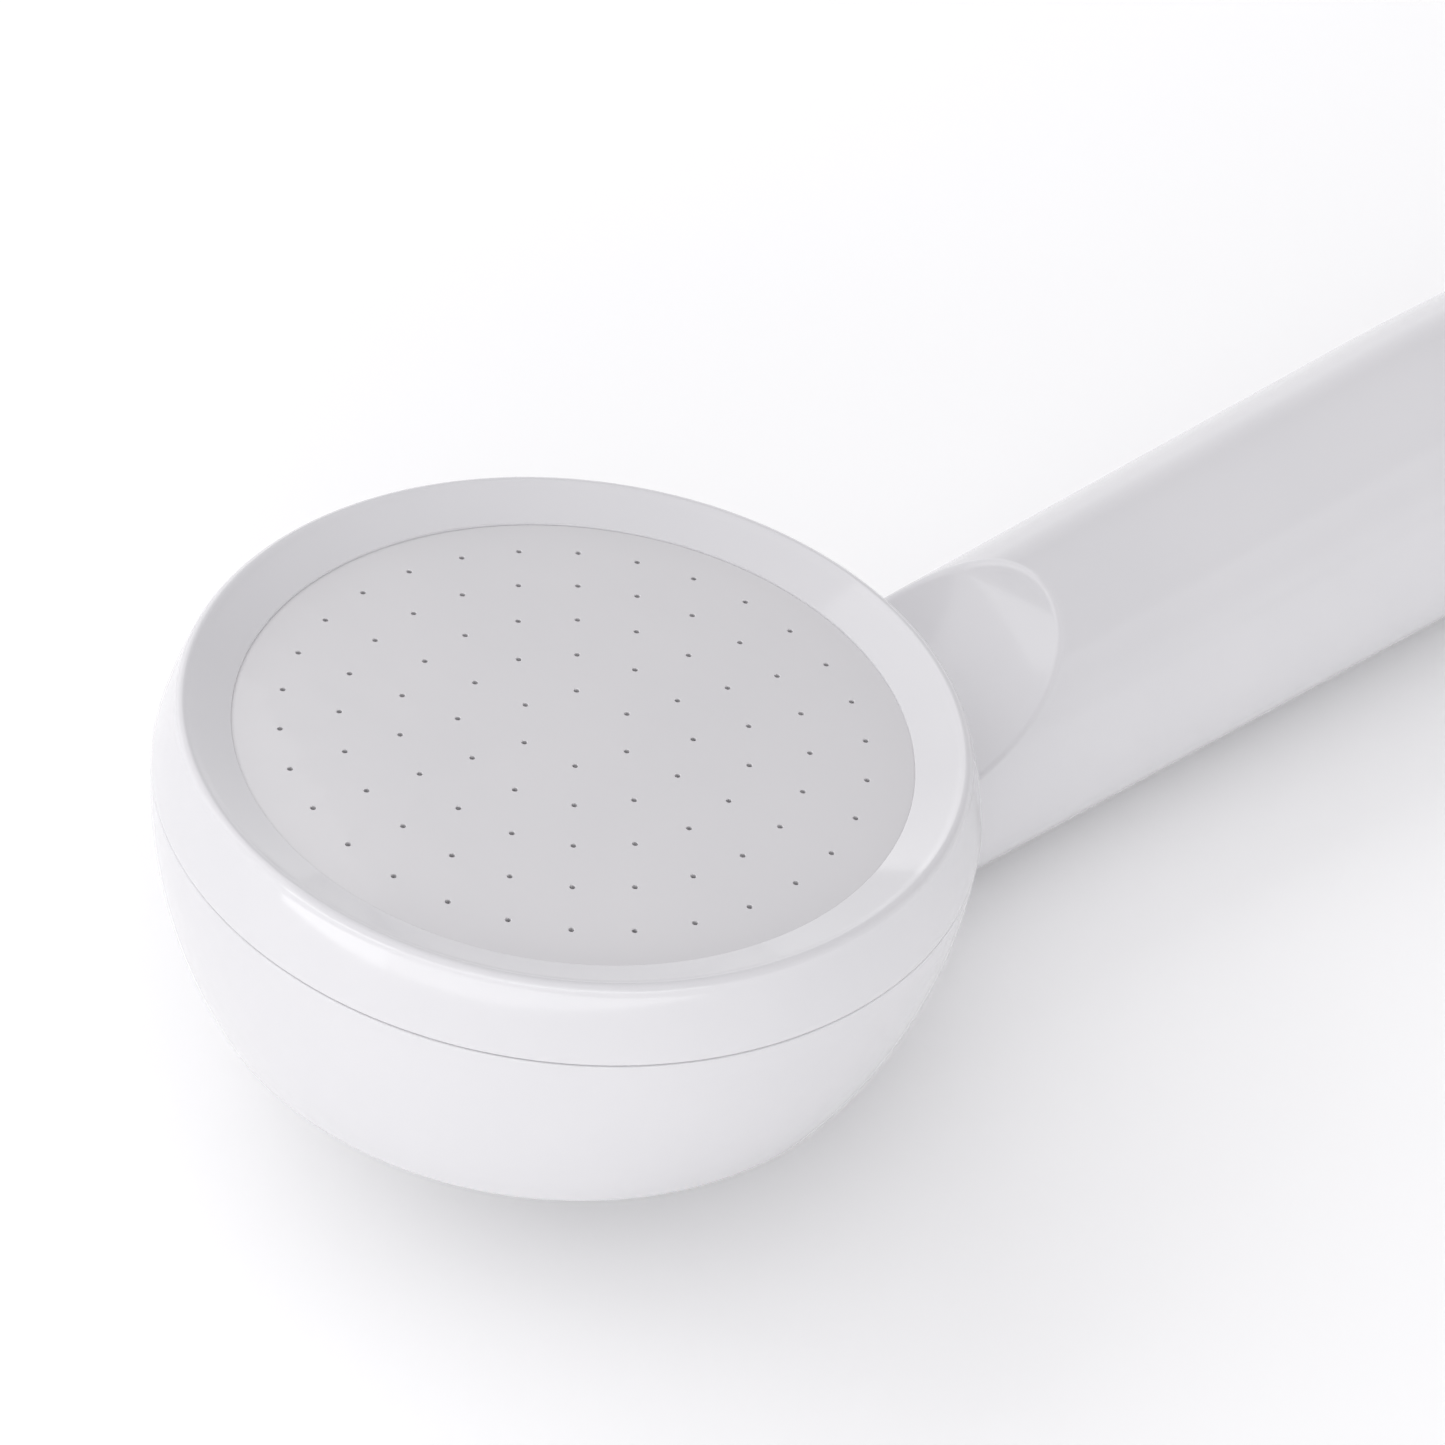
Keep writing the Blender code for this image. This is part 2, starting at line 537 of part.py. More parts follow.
def make_check_valve(handle, poppet_axis):
    """Non-return cartridge: body, sprung poppet, guide cap and its seal."""
    groove = (VALVE_START + VALVE_END) / 2
    groove_r = VALVE_R - VALVE_GROOVE_DEPTH
    outline = [(VALVE_R, VALVE_START), (VALVE_R, groove),
               (groove_r, groove), (groove_r, groove + VALVE_GROOVE),
               (VALVE_R, groove + VALVE_GROOVE), (VALVE_R, VALVE_END),
               (SEAT_BORE_R, VALVE_END), (SEAT_BORE_R, SEAT_START),
               (VALVE_BORE_R, SEAT_START), (VALVE_BORE_R, VALVE_START)]
    turned("check_valve_body", outline, handle, NATURAL)
    o_ring("check_valve_o_ring", groove_r + GAP + SMALL_O_RING_WIRE_R,
           SMALL_O_RING_WIRE_R, groove + VALVE_GROOVE / 2, handle, RUBBER,
           SMALL_SEGMENTS)

    cap = turned("check_valve_cap",
                 box_of(CAP_START, CAP_END, STEM_R + GAP, VALVE_BORE_R - GAP),
                 handle, NATURAL)
    boolean(cap, "DIFFERENCE",
            rods("cap_flow_holes", polar(CAP_FLOW_RING_R, 6), CAP_FLOW_R,
                 CAP_START - CUT_PAST, CAP_END + CUT_PAST, handle))

    nose = SEAT_BORE_R - GAP
    tip, tail = POPPET_FACE + NOSE_LENGTH, CAP_START - STEM_PAST_CAP
    poppet = [(0.0, tip), (NOSE_TIP_R, tip),
              (nose, POPPET_FACE), (POPPET_R, POPPET_FACE),
              (POPPET_R, POPPET_BACK), (STEM_R, POPPET_BACK),
              (STEM_R, tail), (0.0, tail)]
    turned("check_valve_poppet", poppet, poppet_axis, NATURAL)
    make_spring(handle)


def make_spring(handle):
    """Coil spring between the guide cap and the poppet."""
    start = CAP_END + GAP + SPRING_WIRE_R
    end = POPPET_BACK - GAP - SPRING_WIRE_R
    count = SPRING_TURNS * 8
    curve = bpy.data.curves.new("check_valve_spring", "CURVE")
    curve.dimensions = "3D"
    curve.bevel_depth = SPRING_WIRE_R * MM
    curve.bevel_resolution = 1
    curve.use_fill_caps = True
    coil = curve.splines.new("POLY")
    coil.points.add(count)
    for i, point in enumerate(coil.points):
        turn = 2 * math.pi * SPRING_TURNS * i / count
        height = start + (end - start) * i / count
        point.co = (SPRING_R * MM * math.cos(turn),
                    SPRING_R * MM * math.sin(turn), height * MM, 1.0)
    add("check_valve_spring", curve, handle, STEEL)


def make_flow_limiter(handle):
    """Flow limiter: a cup with a post, and the soft ring round the post."""
    start, end = REGULATOR_START, REGULATOR_START + REGULATOR_THICK
    floor = start + REGULATOR_FLOOR
    cup_r = VALVE_R - REGULATOR_WALL
    outline = [(0.0, start), (VALVE_R, start), (VALVE_R, end), (cup_r, end),
               (cup_r, floor), (REGULATOR_POST_R, floor),
               (REGULATOR_POST_R, end), (0.0, end)]
    cup = turned("flow_regulator", outline, handle, NATURAL)
    boolean(cup, "DIFFERENCE",
            rods("regulator_jets", polar((cup_r + REGULATOR_POST_R) / 2, 6),
                 REGULATOR_JET_R, start - CUT_PAST, floor + CUT_PAST, handle))
    o_ring("flow_regulator_o_ring", REGULATOR_RING_R, REGULATOR_RING_WIRE_R,
           floor + GAP + REGULATOR_RING_WIRE_R, handle, RUBBER,
           SMALL_SEGMENTS)


def make_strainer(handle):
    """Sieve disc and sealing washer in the connector's mouth."""
    outer = WASHER_SEAT_R - GAP
    low = WASHER_SEAT + GAP
    high = low + MESH_THICK
    sieve = turned("strainer_mesh",
                   [(0.0, low), (outer, low), (outer, high), (0.0, high)],
                   handle, STEEL)
    places = [(0.0, 0.0)] + polar(SIEVE_RING_1, 6) + polar(SIEVE_RING_2, 12)
    boolean(sieve, "DIFFERENCE",
            rods("sieve_holes", places, SIEVE_HOLE_R, low - CUT_PAST,
                 high + CUT_PAST, handle, sides=6))
    start = high + GAP
    turned("strainer_washer",
           box_of(start, start + WASHER_THICK, WASHER_BORE_R, outer),
           handle, RUBBER)


# ---------------------------------------------------------------- assembly

def lower_hull(points):
    """Lower edge of a set of (x, z) points, from left to right."""
    hull = []
    for point in sorted(points):
        while len(hull) > 1:
            (x1, z1), (x2, z2) = hull[-2], hull[-1]
            if (x2 - x1) * (point[1] - z1) > (point[0] - x1) * (z2 - z1):
                break
            hull.pop()
        hull.append(point)
    return hull


def world_points():
    """Every corner of every finished piece, in world space."""
    bpy.context.view_layer.update()
    graph = bpy.context.evaluated_depsgraph_get()
    points = []
    for piece in PART.objects:
        if piece.type == "EMPTY":
            continue
        shape = piece.evaluated_get(graph).to_mesh()
        points += [piece.matrix_world @ v.co for v in shape.vertices]
    return points


def lay_on_back(root):
    """Turns the part so that bowl and handle share a floor, and puts the
    origin on that floor under the middle of the part."""
    hull = lower_hull([(p.x, p.z) for p in world_points()])
    balance = HANDLE_NECK * MM
    for one, two in zip(hull, hull[1:]):
        if one[0] <= balance <= two[0]:
            tilt = math.atan2(two[1] - one[1], two[0] - one[0])
    root.rotation_euler = (0.0, tilt, 0.0)
    points = world_points()
    low = [min(p[i] for p in points) for i in range(3)]
    high = [max(p[i] for p in points) for i in range(3)]
    root.location = (-(low[0] + high[0]) / 2, -(low[1] + high[1]) / 2, -low[2])
    bpy.context.view_layer.update()


for old in list(bpy.data.objects):
    bpy.data.objects.remove(old, do_unlink=True)

PART = collection("handheld_shower_head")
CUTTERS = collection("cutters")

WHITE = material("white_gloss_plastic", (0.80, 0.79, 0.81), 0.22)
NATURAL = material("natural_matte_plastic", (0.72, 0.72, 0.68), 0.5)
RUBBER = material("black_rubber", (0.03, 0.03, 0.03), 0.8)
CHROME = material("chrome", (0.80, 0.81, 0.82), 0.08, 1.0)
STEEL = material("stainless_steel", (0.62, 0.62, 0.62), 0.25, 1.0)

ROOT = empty("shower_head")
HEAD = empty("head_axis", ROOT)
FACE_LIFT = empty("face_lift_axis", HEAD)
FACE_TURN = empty("ring_turn_axis", FACE_LIFT)
HANDLE = empty(
    "handle_axis", ROOT,
    Matrix.Translation((0.0, 0.0, HANDLE_AXIS_Z * MM))
    @ Matrix.Rotation(math.radians(90 - HANDLE_RISE_DEG), 4, "Y"))
POPPET_AXIS = empty("poppet_axis", HANDLE)

make_body_shell(HEAD, HANDLE)
make_face_ring(FACE_TURN)
make_spray_plate(FACE_LIFT)
make_face_seals(FACE_LIFT, HEAD)
make_distributor(HEAD)
make_water_tube(HANDLE)
make_end_collar(HANDLE)
make_connector(HANDLE)
make_check_valve(HANDLE, POPPET_AXIS)
make_flow_limiter(HANDLE)
make_strainer(HANDLE)
lay_on_back(ROOT)

for piece in PART.objects:
    if piece.type == "MESH":
        piece.data.shade_smooth()
        piece.data.set_sharp_from_angle(angle=math.radians(35))
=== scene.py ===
# %% [markdown]
# # A handheld shower head
# The CAD model already gives every piece its place and its motion. This lesson
# gives the pieces their looks: smooth moulded shells, ninety real spray holes,
# screw threads, and a material for each plastic, rubber and metal.

# %% The frame
import json
import math

import bmesh
import bpy
from mathutils import Matrix, Vector


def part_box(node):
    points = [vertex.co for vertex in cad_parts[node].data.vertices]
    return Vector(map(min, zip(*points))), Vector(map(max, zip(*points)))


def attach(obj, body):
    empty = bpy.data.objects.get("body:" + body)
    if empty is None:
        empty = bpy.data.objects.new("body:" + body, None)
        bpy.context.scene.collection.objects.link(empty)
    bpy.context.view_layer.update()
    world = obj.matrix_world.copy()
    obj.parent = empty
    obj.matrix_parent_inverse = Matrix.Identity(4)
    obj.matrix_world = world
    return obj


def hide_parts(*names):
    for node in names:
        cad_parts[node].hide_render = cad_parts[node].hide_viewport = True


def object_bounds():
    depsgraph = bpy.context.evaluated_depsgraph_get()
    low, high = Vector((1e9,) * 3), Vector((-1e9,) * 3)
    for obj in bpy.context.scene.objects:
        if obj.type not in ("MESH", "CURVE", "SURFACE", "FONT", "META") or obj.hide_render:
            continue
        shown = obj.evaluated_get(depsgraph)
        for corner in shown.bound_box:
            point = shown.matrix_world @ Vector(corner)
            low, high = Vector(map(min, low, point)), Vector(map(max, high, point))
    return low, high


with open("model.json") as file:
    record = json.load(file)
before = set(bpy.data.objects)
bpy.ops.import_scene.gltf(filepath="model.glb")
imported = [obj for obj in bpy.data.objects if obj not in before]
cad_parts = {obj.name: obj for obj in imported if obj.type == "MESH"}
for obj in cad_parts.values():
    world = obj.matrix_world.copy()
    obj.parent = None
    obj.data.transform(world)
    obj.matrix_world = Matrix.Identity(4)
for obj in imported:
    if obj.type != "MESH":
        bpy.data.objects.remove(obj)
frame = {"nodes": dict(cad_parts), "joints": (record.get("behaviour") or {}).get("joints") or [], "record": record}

cad_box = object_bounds()
MM = 0.001
print("CAD box", [[round(c / MM, 1) for c in corner] for corner in cad_box])

# %% [markdown]
# ## Two working frames
# A shower head is drawn round two lines: the axis of the round head and the axis
# of the handle. The joints already know both. The face ring turns about the head's
# axis, and the check valve slides along the handle's. Each new piece is modelled
# upright in one of these frames, in millimetres, and then its mesh is carried into
# the part, so that its object can stay at the origin.

# %% Head and handle frames
joints = {joint["name"]: joint for joint in frame["joints"]}


def upright_frame(origin, up):
    """A matrix from millimetres round an upright axis to metres in the part."""
    up = Vector(up).normalized()
    along = Vector((0.0, 1.0, 0.0)).cross(up).normalized()
    turn = Matrix((along, up.cross(along), up)).transposed().to_4x4()
    return Matrix.Translation(origin) @ turn @ Matrix.Scale(MM, 4)


HEAD = upright_frame(joints["ring_turn"]["pos_m"], joints["ring_turn"]["axis"])

COLLAR_START, COLLAR_END = 170.3, 174.8         # distances along the handle
hose_way = -Vector(joints["check_valve_lift"]["axis"]).normalized()
low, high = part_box("end_collar")
collar_middle = (COLLAR_START + COLLAR_END) / 2
handle_foot = (low + high) / 2 - hose_way * collar_middle * MM
handle_foot.y = 0.0
HANDLE = upright_frame(handle_foot, hose_way)
HANDLE_TO_HEAD = HEAD.inverted() @ HANDLE
print("head axis", [round(v, 3) for v in HEAD.col[2].xyz / MM])
print("handle axis", [round(v, 3) for v in HANDLE.col[2].xyz / MM])

# %% [markdown]
# ## Turning a profile
# Nearly every piece of a shower head is turned or moulded round. A profile is a
# list of corners (radius, height, softness), and softness is how far the edge is
# rounded, because no moulded edge is truly sharp. One spin of the profile makes
# the piece. The weighted normals keep the flats flat right up to the soft edges.

# %% Profiles
SOFT_STEPS = 5


def soften(corners, steps=SOFT_STEPS):
    """Rounds each corner of a profile by its own softness."""
    points = []
    for i, (r, z, soft) in enumerate(corners):
        here = Vector((r, z))
        if soft == 0 or i in (0, len(corners) - 1):
            points.append(here)
            continue
        before = Vector(corners[i - 1][:2]) - here
        after = Vector(corners[i + 1][:2]) - here
        start = here + before.normalized() * min(soft, before.length * 0.49)
        end = here + after.normalized() * min(soft, after.length * 0.49)
        for k in range(steps + 1):
            t = k / steps
            points.append(start * (1 - t) ** 2 + here * 2 * t * (1 - t)
                          + end * t ** 2)
    return points


def arc(centre, radius, start_deg, end_deg, steps):
    """Points along an arc, both ends included."""
    span = (end_deg - start_deg) / steps
    angles = [math.radians(start_deg + span * i) for i in range(steps + 1)]
    return [Vector((centre[0] + radius * math.cos(a),
                    centre[1] + radius * math.sin(a))) for a in angles]


print("a soft corner has", len(soften([(1, 0, 0), (1, 1, 0.2), (0, 1, 0)])), "points")

# %% From profile to piece
WELD = 0.0005                   # millimetres


def spun(profile, steps, closed=False):
    """Spins a profile of (radius, height) once round Z."""
    shape = bmesh.new()
    corners = [shape.verts.new((p[0], 0.0, p[1])) for p in profile]
    edges = [shape.edges.new(pair) for pair in zip(corners, corners[1:])]
    if closed:
        edges.append(shape.edges.new((corners[-1], corners[0])))
    bmesh.ops.spin(shape, geom=corners + edges, cent=(0, 0, 0), axis=(0, 0, 1),
                   dvec=(0, 0, 0), angle=2 * math.pi, steps=steps,
                   use_merge=True, use_normal_flip=False, use_duplicate=False)
    bmesh.ops.remove_doubles(shape, verts=shape.verts, dist=WELD)
    bmesh.ops.recalc_face_normals(shape, faces=shape.faces)
    return shape


def flat_ring(bore_r, outer_r, start, end, bore_soft, outer_soft, steps):
    """A ring of rectangular section, with soft edges."""
    section = soften([(bore_r, start, bore_soft), (outer_r, start, outer_soft),
                      (outer_r, end, outer_soft), (bore_r, end, bore_soft),
                      (bore_r, start, bore_soft)])
    return spun(section[:-1], steps, closed=True)


def take_in(shape, other):
    """Adds another shape's faces to a shape."""
    carrier = bpy.data.meshes.new("carrier")
    other.to_mesh(carrier)
    other.free()
    shape.from_mesh(carrier)
    bpy.data.meshes.remove(carrier)


def finish_piece(name, shape, place, body, slot, *stands_for, sharp_deg=50):
    """Carries a mesh into the part, attaches it to what it moves with and hides the CAD parts it stands for."""
    mesh = bpy.data.meshes.new(name)
    shape.to_mesh(mesh)
    shape.free()
    mesh.transform(place)
    mesh.shade_smooth()
    mesh.set_sharp_from_angle(angle=math.radians(sharp_deg))
    piece = bpy.data.objects.new(name, mesh)
    bpy.context.scene.collection.objects.link(piece)
    flats = piece.modifiers.new("flat_faces", "WEIGHTED_NORMAL")
    flats.keep_sharp = True
    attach(piece, body)
    if stands_for:
        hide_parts(*stands_for)
    print(name, len(mesh.polygons), "faces")
    return piece


# %% [markdown]
# ## The outside of the bowl and of the handle
# The bowl is three tangent arcs: a long, slightly bulging side, a tight corner and
# a wide bottom. The handle is a tube that swells slowly to a belly and then draws
# in towards the hose. Both are plain functions, because the two shapes have to know
# about each other where they meet.

# %% Bowl outline
HEAD_R, EQUATOR_Z = 36.96, -5.98
SIDE_ARC_R, SIDE_ARC_DEG = 45.5, 27.6
CORNER_R, CAP_DEG = 2.8, 55.0
PARTING_Z = -6.6
SEAM_HALF_GAP, SEAM_SOFT = 0.03, 0.26


def bowl_outline(side_steps=26, cap_steps=30):
    """Outer side of the bowl, from the equator to the bottom centre."""
    side = arc((HEAD_R - SIDE_ARC_R, EQUATOR_Z), SIDE_ARC_R, 0, -SIDE_ARC_DEG,
               side_steps)
    slope = math.radians(SIDE_ARC_DEG)
    inward = Vector((math.cos(slope), -math.sin(slope))) * CORNER_R
    corner = arc(side[-1] - inward, CORNER_R, -SIDE_ARC_DEG, -CAP_DEG, 6)
    cap = math.radians(CAP_DEG)
    cap_r = corner[-1].x / math.cos(cap)
    centre = Vector((0.0, corner[-1].y + cap_r * math.sin(cap)))
    bottom = arc(centre, cap_r, -CAP_DEG, -90, cap_steps)
    bottom[-1].x = 0.0
    return side + corner[1:] + bottom[1:]


OUTSIDE = bowl_outline()
BOWL_BOTTOM_Z = OUTSIDE[-1].y
print("bowl depth", round(-BOWL_BOTTOM_Z, 2), "mm")


def radius_at(height):
    """Radius of the bowl's outside at a height."""
    for upper, lower in zip(OUTSIDE, OUTSIDE[1:]):
        if lower.y <= height <= upper.y:
            return upper.lerp(lower, (upper.y - height)
                              / (upper.y - lower.y)).x
    return 0.0


def outside_bowl(point):
    """How far a point of the head frame lies outside the bowl."""
    flat = Vector((math.hypot(point.x, point.y), point.z))
    nearest = min(range(len(OUTSIDE)),
                  key=lambda i: (OUTSIDE[i] - flat).length_squared)
    best = None
    for i in (nearest - 1, nearest):
        if 0 <= i < len(OUTSIDE) - 1:
            a, b = OUTSIDE[i], OUTSIDE[i + 1]
            way = b - a
            t = max(0.0, min(1.0, (flat - a).dot(way) / way.length_squared))
            offset = flat - a.lerp(b, t)
            side = -1.0 if way.cross(offset) < 0 else 1.0
            if best is None or offset.length < abs(best):
                best = side * offset.length
    return best


print("probe", round(outside_bowl(Vector((40.0, 0.0, -10.0))), 2),
      round(outside_bowl(Vector((10.0, 0.0, -20.0))), 2))

# %% Handle outline
HANDLE_START = 6.0
NECK_AT, NECK_R = 36.8, 13.11
BELLY_AT, BELLY_R = 105.0, 14.1
HANDLE_END, END_R = 170.0, 12.3
END_SOFT = 0.8
BORE_R, BORE_FLOOR = 10.6, 150.0


def handle_radius(along):
    """Radius of the handle: a slow swell to the belly, then a soft taper."""
    swell = (BELLY_R - NECK_R) / (BELLY_AT - NECK_AT)
    if along <= BELLY_AT:
        return NECK_R + swell * (along - NECK_AT)
    length = HANDLE_END - BELLY_AT
    t = min(1.0, (along - BELLY_AT) / length)
    eased = 3 * t ** 2 - 2 * t ** 3
    coast = swell * length * t * (1 - t) ** 2
    return BELLY_R + coast - (BELLY_R - END_R) * eased


print("handle", [round(handle_radius(s), 2) for s in (20, 60, 105, 140, 170)])

# %% [markdown]
# ## The scooped neck
# The face ring has to turn and lift off past the handle, so the top of the neck is
# hollowed in a dish that is round about the head's axis. A Boolean would leave a
# hard edge and slivers that a glossy plastic shows at once. So the handle is spun
# very finely here, its faces along the lip are cut finer still, and each of its
# points is drawn in along its own ray until it lies on the dish. A soft minimum of
# the two radii rounds the lip.

# %% The dish
DISH_R, DISH_Z = 39.6, -4.1
DISH_REACH, DISH_DEPTH, DISH_POWER = 15.1, 10.6, 1.36
LIP_SOFT = 0.5
RAY_REACH = 1.15                # a ray starts this far out, in handle radii
HALVINGS = 22


def dish_height(radius):
    """Height of the dish's surface at a distance from the head's axis."""
    out = (radius - DISH_R) / DISH_REACH
    if out <= 0:
        return DISH_Z - DISH_DEPTH
    if out >= 1:
        return None
    return DISH_Z - DISH_DEPTH * (1 - out ** DISH_POWER) ** (1 / DISH_POWER)


def cut_away(point):
    """True where the dish has removed the handle."""
    floor = dish_height(math.hypot(point.x, point.y))
    return floor is not None and point.z > floor


def soft_min(a, b, soft):
    """The smaller of two lengths, rounded where they are nearly equal."""
    near = max(soft - abs(a - b), 0.0) / soft
    return min(a, b) - near * near * soft / 4


def boundary(near, far, is_near):
    """Where a test stops being true between two lengths, by halving."""
    for _ in range(HALVINGS):
        middle = (near + far) / 2
        if is_near(middle):
            near = middle
        else:
            far = middle
    return near


def surface_radius(along, way, full):
    """Radius of the neck along one ray, after the dish is taken out."""
    def kept(reach):
        return not cut_away(HANDLE_TO_HEAD @ (Vector((0, 0, along)) + way * reach))

    if kept(full * RAY_REACH):
        return full
    return soft_min(full, boundary(0.0, full * RAY_REACH, kept), LIP_SOFT)


print("neck height above the axis",
      round(surface_radius(45, Vector((-1, 0, 0)), 13.1), 2))

# %% [markdown]
# ## Bowl and handle, one moulding
# The handle runs into the bowl. Where it would pass through the bowl's wall, its
# points slide along the handle until they lie in the middle of the wall, so that
# the two closed skins overlap by half a wall and nothing shows inside. A narrow
# fillet lifts both skins a little where they meet, as the mould's rounded edge does.

# %% Handle skin
HANDLE_STEPS = 160
BOWL_WALL = 2.6
FILLET = 1.4
FINE_FROM, FINE_TO, NECK_END = 26, 60, 70
BORE_CHAMFER = 0.25


def fillet_lift(out):
    """How far one skin is raised at a distance from the other."""
    if not 0 <= out < FILLET:
        return 0.0
    return (FILLET - out) ** 2 / FILLET / 4


def stations(*stretches):
    """Positions along the handle, from (start, end, spacing) stretches."""
    out = []
    for start, end, spacing in stretches:
        count = max(1, round((end - start) / spacing))
        out += [start + (end - start) * i / count for i in range(count)]
    return out


along_handle = stations((HANDLE_START, FINE_FROM, 1.5), (FINE_FROM, FINE_TO, 0.4),
                        (FINE_TO, NECK_END, 1.0), (NECK_END, HANDLE_END - 1.5, 3.0))
profile = [Vector((r, HANDLE_START)) for r in (0.0, 3.0, 6.0, 9.0, 11.0)]
profile += [Vector((handle_radius(s), s)) for s in along_handle]
last = HANDLE_END - END_SOFT
profile += arc((END_R - END_SOFT, last), END_SOFT, 20, 90, 6)
profile += [Vector((BORE_R + BORE_CHAMFER, HANDLE_END)),
            Vector((BORE_R, HANDLE_END - BORE_CHAMFER)),
            Vector((BORE_R, BORE_FLOOR)), Vector((0.0, BORE_FLOOR))]
handle_skin = spun(profile, HANDLE_STEPS)
print("handle skin", len(handle_skin.verts), "points")

# %% A finer mesh along the lip
def on_dish(vert):
    """True for a point of the plain handle that the dish will take away."""
    return vert.co.z < NECK_END and cut_away(HANDLE_TO_HEAD @ vert.co)


taken = {v for v in handle_skin.verts if on_dish(v)}
lip_verts = {v for f in handle_skin.faces for v in f.verts
             if any(c in taken for c in f.verts) and not all(c in taken for c in f.verts)}
lip_edges = [e for e in handle_skin.edges if any(v in lip_verts for v in e.verts)]
bmesh.ops.subdivide_edges(handle_skin, edges=lip_edges, cuts=2, use_grid_fill=True)
print(len(lip_edges), "edges cut along the lip")

# %% The dish and the fillet, point by point
ON_AXIS = 1e-6
BEYOND_BOWL = 80.0              # along the handle, well clear of the bowl's wall
head_to_handle = HANDLE_TO_HEAD.inverted()


def in_wall(point):
    """True for a point of the handle's frame past the middle of the bowl's wall."""
    return outside_bowl(HANDLE_TO_HEAD @ point) < -BOWL_WALL / 2


dished = filleted = tucked = 0
for vert in handle_skin.verts:
    along = vert.co.z
    full = vert.co.xy.length
    if along > NECK_END or full < ON_AXIS and along > HANDLE_START:
        continue
    way = Vector((vert.co.x, vert.co.y, 0.0)).normalized()
    if full > handle_radius(along) - 0.02 and along > HANDLE_START:
        full = handle_radius(along)
        radius = surface_radius(along, way, full)
        dished += radius < full
        vert.co = Vector((0, 0, along)) + way * radius
    if in_wall(vert.co):
        x, y = vert.co.xy
        vert.co.z = boundary(along, BEYOND_BOWL, lambda z: in_wall(Vector((x, y, z))))
        tucked += 1
    else:
        lift = fillet_lift(outside_bowl(HANDLE_TO_HEAD @ vert.co))
        vert.co += way * lift
        filleted += lift > 0
bmesh.ops.remove_doubles(handle_skin, verts=handle_skin.verts, dist=0.004)
print(dished, "points on the dish,", tucked, "in the wall,", filleted, "on the fillet")

# %% Bowl skin
BOWL_STEPS = 192
THREAD_BORE_R, LEDGE_Z, LEDGE_BORE_R = 34.1, -14.4, 30.2
LEDGE_FOOT_Z, RIM_BAND = -22.0, 2.0
rim_z = PARTING_Z - SEAM_HALF_GAP
band_z = rim_z - RIM_BAND
rim = soften([(radius_at(band_z), band_z, 0), (radius_at(rim_z), rim_z, SEAM_SOFT),
              (THREAD_BORE_R, rim_z, 0.35), (THREAD_BORE_R, LEDGE_Z, 0.2),
              (LEDGE_BORE_R, LEDGE_Z, 0.4), (LEDGE_BORE_R, LEDGE_FOOT_Z, 0)])
outer = [p for p in reversed(OUTSIDE) if p.y < band_z - 0.05]
inner = [Vector((p.x * (1 - BOWL_WALL / HEAD_R), p.y + BOWL_WALL)) for p in OUTSIDE]
inner = [p for p in inner if p.x < LEDGE_BORE_R and p.y < LEDGE_FOOT_Z - 1.0]
inner[-1].x = 0.0
bowl_skin = spun(outer + rim + inner, BOWL_STEPS)
lifted = 0
for vert in bowl_skin.verts:
    if vert.co.x < 0 or abs(outside_bowl(vert.co)) > 0.05:
        continue
    place = head_to_handle @ vert.co
    out = place.xy.length - handle_radius(place.z)
    if cut_away(vert.co):
        out = max(out, vert.co.z - dish_height(vert.co.xy.length))
    if place.z < FINE_TO:
        lift = fillet_lift(out)
        vert.co += vert.normal * lift
        lifted += lift > 0
print("bowl skin", len(bowl_skin.verts), "points,", lifted, "on the fillet")

# %% One piece
handle_skin.transform(HANDLE_TO_HEAD)
take_in(bowl_skin, handle_skin)

# The fillet under the neck would sink below the resting plane: it is laid flat there.
RESTING_Z, REST_SOFT = cad_box[0][2] / MM, 0.1
up_in_head = (HEAD.inverted().to_3x3() @ Vector((0, 0, 1))).normalized()
rested = 0
for vert in bowl_skin.verts:
    height = (HEAD @ vert.co).z / MM - RESTING_Z
    if height < REST_SOFT:
        vert.co += up_in_head * (-soft_min(-height, 0.0, REST_SOFT) - height)
        rested += 1
print(rested, "points laid on the resting plane")
shell = finish_piece("body_shell_moulding", bowl_skin, HEAD, "handset",
                     "white_gloss_plastic", "body_shell")

# %% [markdown]
# ## The face ring
# The ring is the frame of the spray face: a shallow cone inside, a rounded crest,
# and a side that bulges gently down to the seam. Its skirt carries a coarse thread
# that screws into the bowl. The thread is spun as a helix, a spin that also climbs,
# with both ends faded out so that they grow from the skirt.

# %% Ring profile
CREST_R, CREST_Z = 34.96, 0.74
SIDE_POWER = 1.25
FACE_R = 30.27
CONE_TOP_R, CONE_TOP_Z = 33.87, 0.42
SHOULDER_CENTRE, SHOULDER_R = (34.65, 0.05), 0.7
SKIRT_R, SKIRT_BORE_R, SKIRT_BOTTOM_Z = 33.8, 31.8, -12.0
DOME_R, DOME_TOP = 420.0, -0.15


def dome_z(radius):
    """Height of the spray plate, a part of a wide sphere."""
    return DOME_TOP - (DOME_R - math.sqrt(DOME_R ** 2 - radius ** 2))


def ring_side(steps=28):
    """Outer side of the ring, a soft quarter curve from crest to equator."""
    points = []
    for i in range(1, steps + 1):
        turn = math.pi / 2 * i / steps
        points.append(Vector((
            CREST_R + (HEAD_R - CREST_R) * math.sin(turn) ** (2 / SIDE_POWER),
            EQUATOR_Z + (CREST_Z - EQUATOR_Z)
            * max(0.0, math.cos(turn)) ** (2 / SIDE_POWER))))
    return points


